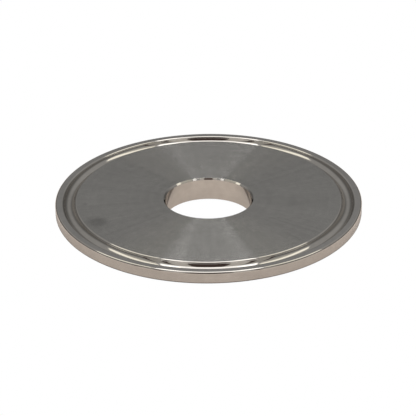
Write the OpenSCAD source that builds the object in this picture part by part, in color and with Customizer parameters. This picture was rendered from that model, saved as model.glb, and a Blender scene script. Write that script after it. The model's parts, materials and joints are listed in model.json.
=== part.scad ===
// Sanitary clamp blank with a bored centre: one disc turned from stainless steel bar.
// The back face lies on Z = 0, the grooved sealing face is up, and the bore axis is Z.
// Every surface is round about Z, so the whole piece is one half section turned once about it.

/* [Rim] */
// Outside diameter of the clamp rim
rim_d = 77.5; // [76.5:0.5:119]
// Height of the rim's edge, measured to its sharp corners
rim_h = 3; // [2.8:0.05:3.5]
// Slope of the clamping taper behind the rim, in degrees
taper_angle = 20; // [15:1:30]
// Radius of the rim's edge on the sealing side
rim_face_edge_r = 0.5; // [0.2:0.05:0.6]
// Radius of the rim's edge on the tapered side
rim_back_edge_r = 0.6; // [0.2:0.05:0.8]

/* [Plate] */
// Thickness from the back face to the sealing face
plate_t = 6; // [5.5:0.1:8]

/* [Gasket groove] */
// Diameter of the circle along the middle of the groove
groove_d = 70.5; // [60:0.5:71]
// Radius of the groove's round bottom
groove_r = 1.4; // [1.3:0.05:1.6]
// Depth of the groove below the sealing face
groove_depth = 1.4; // [1:0.05:1.45]
// Radius of the groove's two edges
groove_edge_r = 0.5; // [0.2:0.05:0.5]

/* [Bore] */
// Diameter of the centre bore, which passes a half inch pipe
bore_d = 22; // [6:0.5:25]
// Width and depth of the bore's bevel on the sealing face
bore_bevel = 0.4; // [0.2:0.1:1]
// Radius of the bore's edge on the back face
bore_back_edge_r = 0.2; // [0.1:0.1:0.5]

/* [Hidden] */
rim_r = rim_d / 2;
bore_r = bore_d / 2;

// Sharp corners of the half section, as [radius, height]
bore_back = [bore_r, 0];
taper_foot = [rim_r - (plate_t - rim_h) / tan(taper_angle), 0];
rim_back = [rim_r, plate_t - rim_h];
rim_face = [rim_r, plate_t];
bevel_top = [bore_r + bore_bevel, plate_t];
bevel_foot = [bore_r, plate_t - bore_bevel];

// Centre of the groove's round bottom, which stands above the face where the groove is shallow
groove_centre = [groove_d / 2, plate_t + groove_r - groove_depth];

$fn = 180;

function unit(v) = v / norm(v);

// The waste at one sharp corner: what lies outside an arc that meets both edges smoothly
module corner_waste(before, corner, after, radius) {
    u = unit(before - corner);
    v = unit(after - corner);
    inward = unit(u + v);
    half_angle = acos(u * v) / 2;
    reach = radius / tan(half_angle);
    difference() {
        polygon([corner + u * reach, corner - inward * radius, corner + v * reach]);
        translate(corner + inward * radius / sin(half_angle)) circle(r = radius);
    }
}

// The waste at one edge of the groove: side is -1 for the inner edge and 1 for the outer one
module groove_edge_waste(side) {
    drop = groove_centre.y - plate_t + groove_edge_r;
    reach = sqrt((groove_r + groove_edge_r) ^ 2 - drop ^ 2);
    edge_centre = groove_centre + [side * reach, -drop];
    difference() {
        polygon([edge_centre, edge_centre + [0, groove_edge_r], groove_centre]);
        translate(edge_centre) circle(r = groove_edge_r);
    }
}

module groove_waste() {
    translate(groove_centre) circle(r = groove_r);
    for (side = [-1, 1]) groove_edge_waste(side);
}

module half_section() {
    difference() {
        polygon([bore_back, taper_foot, rim_back, rim_face, bevel_top, bevel_foot]);
        groove_waste();
        corner_waste(bevel_foot, bore_back, taper_foot, bore_back_edge_r);
        corner_waste(taper_foot, rim_back, rim_face, rim_back_edge_r);
        corner_waste(rim_back, rim_face, bevel_top, rim_face_edge_r);
    }
}

// The machined disc
module flange() {
    color([0.53, 0.52, 0.5]) rotate_extrude() half_section();
}

flange();
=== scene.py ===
import json
import math

import bpy
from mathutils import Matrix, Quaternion, Vector


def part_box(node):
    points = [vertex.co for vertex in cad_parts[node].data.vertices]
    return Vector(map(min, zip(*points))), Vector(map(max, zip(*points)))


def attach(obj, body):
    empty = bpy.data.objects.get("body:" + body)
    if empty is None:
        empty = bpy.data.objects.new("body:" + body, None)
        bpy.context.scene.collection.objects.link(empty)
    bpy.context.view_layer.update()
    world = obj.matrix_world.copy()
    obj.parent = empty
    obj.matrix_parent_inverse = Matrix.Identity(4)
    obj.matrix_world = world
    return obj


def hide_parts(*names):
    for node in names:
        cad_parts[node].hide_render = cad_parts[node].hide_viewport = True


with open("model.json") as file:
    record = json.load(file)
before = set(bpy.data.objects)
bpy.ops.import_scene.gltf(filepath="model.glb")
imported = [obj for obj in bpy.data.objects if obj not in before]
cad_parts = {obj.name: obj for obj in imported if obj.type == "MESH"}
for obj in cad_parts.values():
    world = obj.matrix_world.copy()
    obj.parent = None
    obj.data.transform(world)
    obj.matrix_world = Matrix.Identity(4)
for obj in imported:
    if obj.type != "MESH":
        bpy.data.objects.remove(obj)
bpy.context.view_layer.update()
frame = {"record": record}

# ---- The flange's sizes, in metres. The overall ones come from the frame.
MM = 0.001
MOUNTS = {mount["name"]: mount for mount in frame["record"]["mounts"]}
FLANGE_LOW, FLANGE_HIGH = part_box("flange")
RIM_R = MOUNTS["clamp_rim"]["dims"]["r_mm"] * MM
BORE_R = MOUNTS["bore"]["dims"]["r_mm"] * MM
PLATE_T = FLANGE_HIGH.z - FLANGE_LOW.z
RIM_H = 3.0 * MM
TAPER = math.radians(20)
GROOVE_CENTRE_R = 35.25 * MM
GROOVE_R = 1.4 * MM
GROOVE_DEPTH = 1.4 * MM
GROOVE_EDGE_R = 0.5 * MM
RIM_FACE_EDGE_R = 0.5 * MM
RIM_BACK_EDGE_R = 0.6 * MM
BORE_BEVEL = 0.4 * MM
BEVEL_EDGE_R = 0.06 * MM
BORE_BACK_EDGE_R = 0.2 * MM
TAPER_FOOT_EDGE_R = 0.3 * MM
# The bevel faces up and in, at this many degrees from straight out towards straight up
BEVEL_FACING = 135

# ---- How finely the turned shape is meshed
TURN_STEPS = 480
ARC_STEP = math.radians(6)
FEWEST_ARC_STEPS = 4
RUN_STEP = 2.5 * MM

# ---- The camera, as the photograph's: a long lens, well above the face
FACE_CENTRE = Vector((0, 0, PLATE_T))
CAMERA_ELEVATION = math.radians(26.9)
CAMERA_DISTANCE = 11.7 * RIM_R
CAMERA_AIM = FACE_CENTRE + Vector((-0.15, -5.73, 0)) * MM
CAMERA_LENS = 154.94
CAMERA_ROLL = math.radians(-0.4)
CAMERA_CLIP = (0.01, 20)
SENSOR_WIDTH = 36.0


def make_camera():
    data = bpy.data.cameras.new("camera")
    data.lens = CAMERA_LENS
    data.sensor_width = SENSOR_WIDTH
    data.clip_start, data.clip_end = CAMERA_CLIP
    camera = bpy.data.objects.new("camera", data)
    back = Vector((0, -math.cos(CAMERA_ELEVATION), math.sin(CAMERA_ELEVATION)))
    camera.location = FACE_CENTRE + back * CAMERA_DISTANCE + Vector((CAMERA_AIM.x, 0, 0))
    camera.rotation_mode = "QUATERNION"
    level = (CAMERA_AIM - camera.location).to_track_quat("-Z", "Y")
    camera.rotation_quaternion = level @ Quaternion((0, 0, 1), CAMERA_ROLL)
    bpy.context.scene.collection.objects.link(camera)
    bpy.context.scene.camera = camera


# ---- The turned outline. A ring is (radius, height, normal's radius part, normal's height part).
# Directions are in degrees from straight out towards straight up.
def arc(centre, radius, start, end, hollow=False):
    """Rings along a round edge, between two directions from its centre. A hollow one faces its centre."""
    start, end = math.radians(start), math.radians(end)
    steps = max(FEWEST_ARC_STEPS, math.ceil(abs(end - start) / ARC_STEP))
    side = -1 if hollow else 1
    rings = []
    for step in range(steps + 1):
        angle = start + (end - start) * step / steps
        out, up = math.cos(angle), math.sin(angle)
        rings.append((centre[0] + radius * out, centre[1] + radius * up, side * out, side * up))
    return rings


def run(first, last):
    """The rings between two arcs' ends, along a straight line."""
    length = math.dist(first[:2], last[:2])
    steps = max(1, math.ceil(length / RUN_STEP))
    middle = []
    for step in range(1, steps):
        share = step / steps
        middle.append(tuple(a + (b - a) * share for a, b in zip(first, last)))
    return middle


def groove_arcs():
    """The groove's inner edge, its round bottom and its outer edge."""
    edge_z = PLATE_T - GROOVE_EDGE_R
    bottom_z = PLATE_T + GROOVE_R - GROOVE_DEPTH
    # An edge's arc meets the bottom's on the line between their centres, which leans this far from upright
    drop = bottom_z - edge_z
    reach = math.sqrt((GROOVE_R + GROOVE_EDGE_R) ** 2 - drop ** 2)
    lean = math.degrees(math.atan2(reach, drop))
    inner_edge = arc((GROOVE_CENTRE_R - reach, edge_z), GROOVE_EDGE_R, 90, 90 - lean)
    bottom = arc((GROOVE_CENTRE_R, bottom_z), GROOVE_R, 270 - lean, 270 + lean, hollow=True)
    outer_edge = arc((GROOVE_CENTRE_R + reach, edge_z), GROOVE_EDGE_R, 90 + lean, 90)
    return inner_edge, bottom, outer_edge


def rim_arcs():
    """The rim's edge on the face, its edge on the back, and the foot of the taper."""
    taper_facing = math.degrees(TAPER) - 90
    back_z = PLATE_T - RIM_H + RIM_BACK_EDGE_R * math.tan((math.pi / 2 - TAPER) / 2)
    foot_r = RIM_R - (PLATE_T - RIM_H) / math.tan(TAPER) - TAPER_FOOT_EDGE_R * math.tan(TAPER / 2)
    face_edge = arc((RIM_R - RIM_FACE_EDGE_R, PLATE_T - RIM_FACE_EDGE_R), RIM_FACE_EDGE_R, 90, 0)
    back_edge = arc((RIM_R - RIM_BACK_EDGE_R, back_z), RIM_BACK_EDGE_R, 0, taper_facing)
    foot = arc((foot_r, TAPER_FOOT_EDGE_R), TAPER_FOOT_EDGE_R, taper_facing, -90)
    return face_edge, back_edge, foot


def bore_arcs():
    """The bore's edge on the back, and the foot and the top of its bevel."""
    reach = BEVEL_EDGE_R * math.tan(math.radians((180 - BEVEL_FACING) / 2))
    foot_centre = (BORE_R + BEVEL_EDGE_R, PLATE_T - BORE_BEVEL - reach)
    top_centre = (BORE_R + BORE_BEVEL + reach, PLATE_T - BEVEL_EDGE_R)
    back_edge = arc((BORE_R + BORE_BACK_EDGE_R, BORE_BACK_EDGE_R), BORE_BACK_EDGE_R, 270, 180)
    bevel_foot = arc(foot_centre, BEVEL_EDGE_R, 180, BEVEL_FACING)
    bevel_top = arc(top_centre, BEVEL_EDGE_R, BEVEL_FACING, 90)
    return back_edge, bevel_foot, bevel_top


def outline():
    """The arcs in order round the half section, each with its finish and that of the straight after it."""
    bore_back_edge, bevel_foot, bevel_top = bore_arcs()
    groove_inner_edge, groove_bottom, groove_outer_edge = groove_arcs()
    rim_face_edge, rim_back_edge, taper_foot = rim_arcs()
    return [
        (bore_back_edge, "polished", "bored"),
        (bevel_foot, "polished", "polished"),
        (bevel_top, "polished", "turned"),
        (groove_inner_edge, "polished", "polished"),
        (groove_bottom, "polished", "polished"),
        (groove_outer_edge, "polished", "fine_turned"),
        (rim_face_edge, "polished", "satin"),
        (rim_back_edge, "polished", "turned"),
        (taper_foot, "turned", "turned"),
    ]


def turned_mesh(name, edges, finishes):
    """Turns the outline about Z, with each band of faces in its finish and exact normals at every ring."""
    rings, bands = [], []
    for number, (edge, finish, finish_after) in enumerate(edges):
        next_edge = edges[(number + 1) % len(edges)][0]
        straight = run(edge[-1], next_edge[0])
        rings += edge + straight
        bands += [finish] * (len(edge) - 1) + [finish_after] * (len(straight) + 1)
    points, normals, faces, slots = [], [], [], []
    for radius, height, out, up in rings:
        for turn in range(TURN_STEPS):
            angle = math.tau * turn / TURN_STEPS
            cosine, sine = math.cos(angle), math.sin(angle)
            points.append((radius * cosine, radius * sine, height))
            normals.append((out * cosine, out * sine, up))
    for ring, finish in enumerate(bands):
        low, high = ring * TURN_STEPS, (ring + 1) % len(rings) * TURN_STEPS
        for turn in range(TURN_STEPS):
            after = (turn + 1) % TURN_STEPS
            faces.append((low + turn, high + turn, high + after, low + after))
            slots.append(finishes.index(finish))
    mesh = bpy.data.meshes.new(name)
    mesh.from_pydata(points, [], faces)
    mesh.polygons.foreach_set("material_index", slots)
    mesh.shade_smooth()
    mesh.normals_split_custom_set_from_vertices(normals)
    return mesh


# ---- Nodes
def connect(tree, target, inputs):
    """Sets a node's inputs, each to a value or to another node's output."""
    for name, value in inputs.items():
        if isinstance(value, bpy.types.NodeSocket):
            tree.links.new(value, target.inputs[name])
        else:
            target.inputs[name].default_value = value


def node(tree, kind, inputs, **settings):
    """Adds a node with its settings and its inputs."""
    made = tree.nodes.new(kind)
    for name, value in settings.items():
        setattr(made, name, value)
    connect(tree, made, inputs)
    return made


def add(tree, first, second):
    return node(tree, "ShaderNodeMath", {0: first, 1: second}, operation="ADD").outputs[0]


def spread(tree, value, low, high):
    """Maps 0..1 to low..high."""
    inputs = {0: value, 1: high - low, 2: low}
    return node(tree, "ShaderNodeMath", inputs, operation="MULTIPLY_ADD").outputs[0]


def swing(tree, value, reach, middle=0.0):
    """Maps 0..1 to a reach either side of the middle."""
    return spread(tree, value, middle - reach, middle + reach)


def ramp(tree, value, start, end, top=1.0, shape="SMOOTHSTEP"):
    """Rises from 0 where the value is start to top where it is end, and is level beyond both."""
    inputs = {"Value": value, "From Min": start, "From Max": end, "To Max": top}
    return node(tree, "ShaderNodeMapRange", inputs, interpolation_type=shape).outputs[0]


def vector_math(tree, operation, inputs, output="Vector"):
    return node(tree, "ShaderNodeVectorMath", inputs, operation=operation).outputs[output]


def noise(tree, place, scale, detail, roughness):
    """Noise in space, 0..1, with about this many features to a unit of the place."""
    inputs = {"Vector": place, "Scale": scale, "Detail": detail, "Roughness": roughness}
    return node(tree, "ShaderNodeTexNoise", inputs).outputs["Fac"]


def noise_along(tree, value, pitch):
    """Noise that changes only along one value, with features about a pitch wide, 0..1."""
    inputs = {"W": value, "Scale": 1 / pitch, "Detail": 2.0}
    return node(tree, "ShaderNodeTexNoise", inputs, noise_dimensions="1D").outputs["Fac"]


# ---- Finishes. The pitch is that of the finest ring marks, and the slope is the most that they tilt the
# surface. The spoke tone is how much the steel's tone changes round the axis.
FINISHES = {
    # The faces and the taper
    "turned": dict(colour=(0.492, 0.478, 0.451), roughness=0.165, anisotropy=1.0,
                   ring_pitch=0.006 * MM, ring_slope=0.75, spoke_tone=0.11),
    # The land outside the groove
    "fine_turned": dict(colour=(0.51, 0.49, 0.465), roughness=0.14, anisotropy=0.8,
                        ring_pitch=0.006 * MM, ring_slope=0.2, spoke_tone=0.04),
    # The groove, the bevel and the edges
    "polished": dict(colour=(0.56, 0.53, 0.49), roughness=0.07, anisotropy=0.3),
    # The bore's wall
    "bored": dict(colour=(0.53, 0.50, 0.46), roughness=0.06, anisotropy=0.0),
    # The rim's side
    "satin": dict(colour=(0.50, 0.475, 0.44), roughness=0.25, anisotropy=0.5),
}
# A quarter turn from the ring marks, so that the sheen spreads across them
SHEEN_TURN = 0.25

# What every finish has: broader rings, smudges and mottling. A scale is how many there are to a metre, or of
# the spokes to a radian, and a tone is how much they change the steel's tone.
BROAD_RING_PITCH = 1.5 * MM
BROAD_RING_TONE = 0.03
SMUDGE_SCALE = 90.0
SMUDGE_TONE = 0.12
MOTTLE_SCALE = 500.0
MOTTLE_TONE = 0.08
SPOKE_SCALE = 25.0
# How much the finest ring marks and the smudges change the roughness
RING_ROUGHNESS = 0.012
SMUDGE_ROUGHNESS = 0.03
# Where handling has dulled the face: each mark's centre, its radius and how much darker it is
HANDLING_MARKS = [
    ((-27.5 * MM, -12.9 * MM), 3.5 * MM, 0.3),
    ((21.5 * MM, 0), 9.0 * MM, 0.08),
    ((-31.0 * MM, -3.0 * MM), 1.5 * MM, 0.2),
]
# How far a mark's edge wavers, as a share of its radius
MARK_WAVER = 0.8


def mark(tree, place, waver, centre, radius):
    """About 1 at a mark's middle, fading to 0 at its uneven edge."""
    distance = vector_math(tree, "DISTANCE", {0: place, 1: (*centre, 0)}, output="Value")
    uneven = add(tree, distance, swing(tree, waver, MARK_WAVER * radius))
    return ramp(tree, uneven, radius, 0.0)


def steel_tone(tree, place, level, along, smudges, spoke_tone):
    """How light the steel is, about 1: its rings, smudges, mottling, spokes and handling marks together."""
    rings = noise_along(tree, along, BROAD_RING_PITCH)
    mottle = noise(tree, place, MOTTLE_SCALE, detail=2.0, roughness=0.6)
    bearing = vector_math(tree, "NORMALIZE", {0: level})
    spokes = noise(tree, bearing, SPOKE_SCALE, detail=3.0, roughness=0.6)
    tone = add(tree, swing(tree, rings, BROAD_RING_TONE), swing(tree, smudges, SMUDGE_TONE, middle=1.0))
    tone = add(tree, tone, swing(tree, mottle, MOTTLE_TONE))
    tone = add(tree, tone, swing(tree, spokes, spoke_tone))
    for centre, radius, darker in HANDLING_MARKS:
        tone = add(tree, tone, spread(tree, mark(tree, level, smudges, centre, radius), 0, -darker))
    return tone


def ring_normal(tree, tangent, rings, slope):
    """The surface's normal, tilted across the ring marks."""
    normal = node(tree, "ShaderNodeNewGeometry", {}).outputs["Normal"]
    across = vector_math(tree, "CROSS_PRODUCT", {0: tangent, 1: normal})
    tilt = vector_math(tree, "SCALE", {0: across, "Scale": swing(tree, rings, slope)})
    tilted = vector_math(tree, "ADD", {0: normal, 1: tilt})
    return vector_math(tree, "NORMALIZE", {0: tilted})


def steel(name, colour, roughness, anisotropy, ring_pitch=0.2 * MM, ring_slope=0.0, spoke_tone=0.0):
    """Stainless steel that was turned about Z, with ring marks that are too fine to count."""
    material = bpy.data.materials.new(name)
    material.use_nodes = True
    tree = material.node_tree
    place = node(tree, "ShaderNodeTexCoord", {}).outputs["Object"]
    level = vector_math(tree, "MULTIPLY", {0: place, 1: (1, 1, 0)})
    radius = vector_math(tree, "LENGTH", {0: level}, output="Value")
    height = node(tree, "ShaderNodeSeparateXYZ", {"Vector": place}).outputs["Z"]
    along = add(tree, radius, height)
    rings = noise_along(tree, along, ring_pitch)
    smudges = noise(tree, place, SMUDGE_SCALE, detail=3.0, roughness=0.55)
    tone = steel_tone(tree, place, level, along, smudges, spoke_tone)
    smudged = swing(tree, smudges, -SMUDGE_ROUGHNESS, middle=roughness)
    tangent = node(tree, "ShaderNodeTangent", {}, direction_type="RADIAL", axis="Z").outputs["Tangent"]
    connect(tree, tree.nodes["Principled BSDF"], {
        "Base Color": vector_math(tree, "SCALE", {0: colour, "Scale": tone}),
        "Metallic": 1.0,
        "Roughness": add(tree, swing(tree, rings, RING_ROUGHNESS), smudged),
        "Normal": ring_normal(tree, tangent, rings, ring_slope),
        "Tangent": tangent,
        "Anisotropic": anisotropy,
        "Anisotropic Rotation": SHEEN_TURN,
    })
    return material


def make_flange():
    mesh = turned_mesh("flange_body", outline(), list(FINISHES))
    for name, finish in FINISHES.items():
        mesh.materials.append(steel(name + "_steel", **finish))
    body = bpy.data.objects.new("flange_body", mesh)
    bpy.context.scene.collection.objects.link(body)
    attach(body, "root")
    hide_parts("flange")


# ---- The studio, in metres, with bearings, turns and elevations in degrees
SIDES = {"left": -1, "right": 1}
WHITE = (1, 1, 1)
WARM_WHITE = (1, 0.98, 0.89)
CREAM = (1, 0.97, 0.92)

# The floor glows, and its glow carries painted shade and a painted lit spot. The glow fades out over the
# painted shade's width beyond the rim, comes back in part beneath the flange towards the bore, and rises to
# the whole of it over the edge of the painted lit spot in the bore.
FLOOR_SIZE = 8.0
FLOOR_DROP = 1.3 * MM
FLOOR_COLOUR = (0.50, 0.447, 0.42)
FLOOR_GLOW = (0.41, 0.372, 0.346)
PAINTED_SHADE_WIDTH = 7.0 * MM
PAINTED_GLOW_BY_BORE = 0.36
PAINTED_SPOT_EDGE = 0.3 * MM

# The lights overhead. The turns say which slopes of the flange mirror a light to the camera, by how far from
# the front they face. The ends are how far back the light starts and stops.
CEILING_HEIGHT = 1.0
CEILING_REACH = 1.2
CEILING_STEPS = 12
CEILING_LIGHTS = {
    "middle": dict(turns=(0, 12), ends=(-0.4, 0.62), colour=WHITE, radiance=1.75),
    "strip_front": dict(turns=(12, 20.5), ends=(-0.4, -0.15), colour=WHITE, radiance=1.4),
    "strip_back": dict(turns=(12, 20.5), ends=(-0.15, 0.62), colour=WHITE, radiance=2.55),
    "wing_front": dict(turns=(22, 46), ends=(-0.4, 0.02), colour=WARM_WHITE, radiance=0.6),
    "wing_back": dict(turns=(22, 46), ends=(0.02, 0.56), colour=WARM_WHITE, radiance=1.5),
}
FILL_SIZE = 0.7
FILL_HEIGHT = 1.1
FILL_RADIANCE = 8.2

# The cards in front: the bearings from the front and the elevations that each one reaches between
FRONT_DISTANCE = 1.2
FLAG_COLOUR = (0.10, 0.078, 0.074)
PANEL_RADIANCE = 0.62
FAR_PANEL_RADIANCE = 0.42
MIDDLE_FLAG = dict(bearings=(-17, 17), elevations=(14, 65))
PANEL = dict(bearings=(17, 33), elevations=(0, 64))
SIDE_FLAG = dict(bearings=(33, 38), elevations=(0, 45))
FAR_PANEL = dict(bearings=(38, 50), elevations=(0, 55))
FAR_SIDE_FLAG = dict(bearings=(50, 54), elevations=(0, 45))

# The walls go from the low grey to the high grey between these elevations
LOW_GREY = 0.145
HIGH_GREY = 0.38
LOW_ELEVATION = 12
HIGH_ELEVATION = 35


def stage_material(name):
    """A new material, its node tree, and the socket that its shader goes to."""
    material = bpy.data.materials.new(name)
    material.use_nodes = True
    tree = material.node_tree
    tree.nodes.clear()
    return material, tree, tree.nodes.new("ShaderNodeOutputMaterial").inputs["Surface"]


def glowing(name, colour, radiance):
    material, tree, surface = stage_material(name)
    shine = node(tree, "ShaderNodeEmission", {"Color": (*colour, 1), "Strength": radiance})
    tree.links.new(shine.outputs[0], surface)
    return material


def matt(name, colour):
    material, tree, surface = stage_material(name)
    diffuse = node(tree, "ShaderNodeBsdfDiffuse", {"Color": (*colour, 1)})
    tree.links.new(diffuse.outputs[0], surface)
    return material


def floor_glow_with_painted_shade(tree):
    """How much of its glow the floor gives off: painted shade beneath the flange, and a painted lit spot
    with all of it in the bore.
    """
    place = node(tree, "ShaderNodeTexCoord", {}).outputs["Object"]
    distance = vector_math(tree, "LENGTH", {0: place}, output="Value")
    painted_spot_r = BORE_R + PAINTED_SPOT_EDGE
    # Painted shade: the glow fades beyond the rim and is lowered beneath the flange, and a painted lit spot
    # raises it again in the bore
    painted_shade_outside = ramp(tree, distance, RIM_R, RIM_R + PAINTED_SHADE_WIDTH)
    painted_shade_under = ramp(tree, distance, RIM_R, painted_spot_r, top=PAINTED_GLOW_BY_BORE, shape="LINEAR")
    painted_spot_in_bore = ramp(tree, distance, painted_spot_r, BORE_R, top=1 - PAINTED_GLOW_BY_BORE, shape="LINEAR")
    return add(tree, add(tree, painted_shade_outside, painted_shade_under), painted_spot_in_bore)


def floor_material():
    """Pale warm paper, which lights the flange but is plain white where the camera sees it."""
    material, tree, surface = stage_material("floor_white")
    diffuse = node(tree, "ShaderNodeBsdfDiffuse", {"Color": (*FLOOR_COLOUR, 1)}).outputs[0]
    # The glow's strength paints shade beneath the flange and a lit spot in the bore
    glow_inputs = {"Color": (*FLOOR_GLOW, 1), "Strength": floor_glow_with_painted_shade(tree)}
    glow = node(tree, "ShaderNodeEmission", glow_inputs).outputs[0]
    paper = node(tree, "ShaderNodeAddShader", {0: diffuse, 1: glow}).outputs[0]
    white = node(tree, "ShaderNodeEmission", {"Color": (*WHITE, 1)}).outputs[0]
    seen = node(tree, "ShaderNodeLightPath", {}).outputs["Is Camera Ray"]
    mix = node(tree, "ShaderNodeMixShader", {0: seen, 1: paper, 2: white})
    tree.links.new(mix.outputs[0], surface)
    return material


def card(name, corners, material):
    """A flat stage piece from its corners."""
    mesh = bpy.data.meshes.new(name)
    mesh.from_pydata(corners, [], [range(len(corners))])
    mesh.materials.append(material)
    made = bpy.data.objects.new(name, mesh)
    bpy.context.scene.collection.objects.link(made)


def ceiling_x(turn, y):
    """How far aside the ceiling point at y is that a slope mirrors if it faces this turn from the front."""
    # The slope's normal is halfway from the camera's direction to the point's, which gives a quadratic in x
    across = 1 / math.tan(math.radians(turn))
    view = math.cos(CAMERA_ELEVATION)
    square = across ** 2 - view ** 2
    half_linear = y * across
    constant = y ** 2 - (view * CEILING_HEIGHT) ** 2 - (view * y) ** 2
    return (math.sqrt(half_linear ** 2 - square * constant) - half_linear) / square


def ceiling_card(name, side, turns, ends, material):
    """A level light over one side of the flange, between two turns and two ends."""
    edges = ([], [])
    for step in range(CEILING_STEPS + 1):
        y = ends[0] + (ends[1] - ends[0]) * step / CEILING_STEPS
        for edge, turn in zip(edges, turns):
            x = min(ceiling_x(turn, y), CEILING_REACH) if turn > 0 else 0
            edge.append((side * x, y, CEILING_HEIGHT))
    card(name, edges[0] + edges[1][::-1], material)


def upright_card(name, side, bearings, elevations, material):
    """A card in front of the flange, between two bearings from the front to one side and two elevations."""
    corners = []
    for bearing_end, elevation_end in ((0, 0), (1, 0), (1, 1), (0, 1)):
        bearing = side * math.radians(bearings[bearing_end])
        elevation = math.radians(elevations[elevation_end])
        level = FRONT_DISTANCE * math.cos(elevation)
        height = FRONT_DISTANCE * math.sin(elevation)
        corners.append((level * math.sin(bearing), -level * math.cos(bearing), height))
    card(name, corners, material)


def make_floor():
    half = FLOOR_SIZE / 2
    corners = [(x * half, y * half, -FLOOR_DROP) for x, y in ((-1, -1), (1, -1), (1, 1), (-1, 1))]
    card("floor", corners, floor_material())


def make_ceiling():
    for name, light in CEILING_LIGHTS.items():
        material = glowing(name, light["colour"], light["radiance"])
        for hand, side in SIDES.items():
            ceiling_card(name + "_" + hand, side, light["turns"], light["ends"], material)


def make_fill():
    """A soft light above the overhead cards, which the steel doesn't mirror."""
    fill = bpy.data.lights.new("floor_fill", "AREA")
    fill.size = FILL_SIZE
    fill.energy = FILL_RADIANCE * math.pi * FILL_SIZE ** 2
    above = bpy.data.objects.new("floor_fill", fill)
    above.location = (0, 0, FILL_HEIGHT)
    above.visible_glossy = False
    bpy.context.scene.collection.objects.link(above)


def make_front():
    """A dark flag in the middle, and on each side of it a cream panel, a flag, a dimmer panel and a flag."""
    cream = glowing("front_panel", CREAM, PANEL_RADIANCE)
    far_cream = glowing("front_panel_far", CREAM, FAR_PANEL_RADIANCE)
    dark = matt("front_flag", FLAG_COLOUR)
    upright_card("front_flag_middle", 1, **MIDDLE_FLAG, material=dark)
    for hand, side in SIDES.items():
        upright_card("front_panel_" + hand, side, **PANEL, material=cream)
        upright_card("front_flag_" + hand, side, **SIDE_FLAG, material=dark)
        upright_card("front_panel_far_" + hand, side, **FAR_PANEL, material=far_cream)
        upright_card("front_flag_far_" + hand, side, **FAR_SIDE_FLAG, material=dark)


def make_world():
    """Grey walls, dark near the floor and lighter further up."""
    world = bpy.data.worlds.new("studio")
    world.use_nodes = True
    tree = world.node_tree
    direction = node(tree, "ShaderNodeTexCoord", {}).outputs["Generated"]
    height = node(tree, "ShaderNodeSeparateXYZ", {"Vector": direction}).outputs["Z"]
    low, high = (math.sin(math.radians(elevation)) for elevation in (LOW_ELEVATION, HIGH_ELEVATION))
    grey = spread(tree, ramp(tree, height, low, high), LOW_GREY, HIGH_GREY)
    tree.links.new(grey, tree.nodes["Background"].inputs["Color"])
    bpy.context.scene.world = world


make_camera()
make_flange()
make_floor()
make_ceiling()
make_fill()
make_front()
make_world()
bpy.context.scene.view_settings.view_transform = "Standard"
bpy.context.view_layer.update()
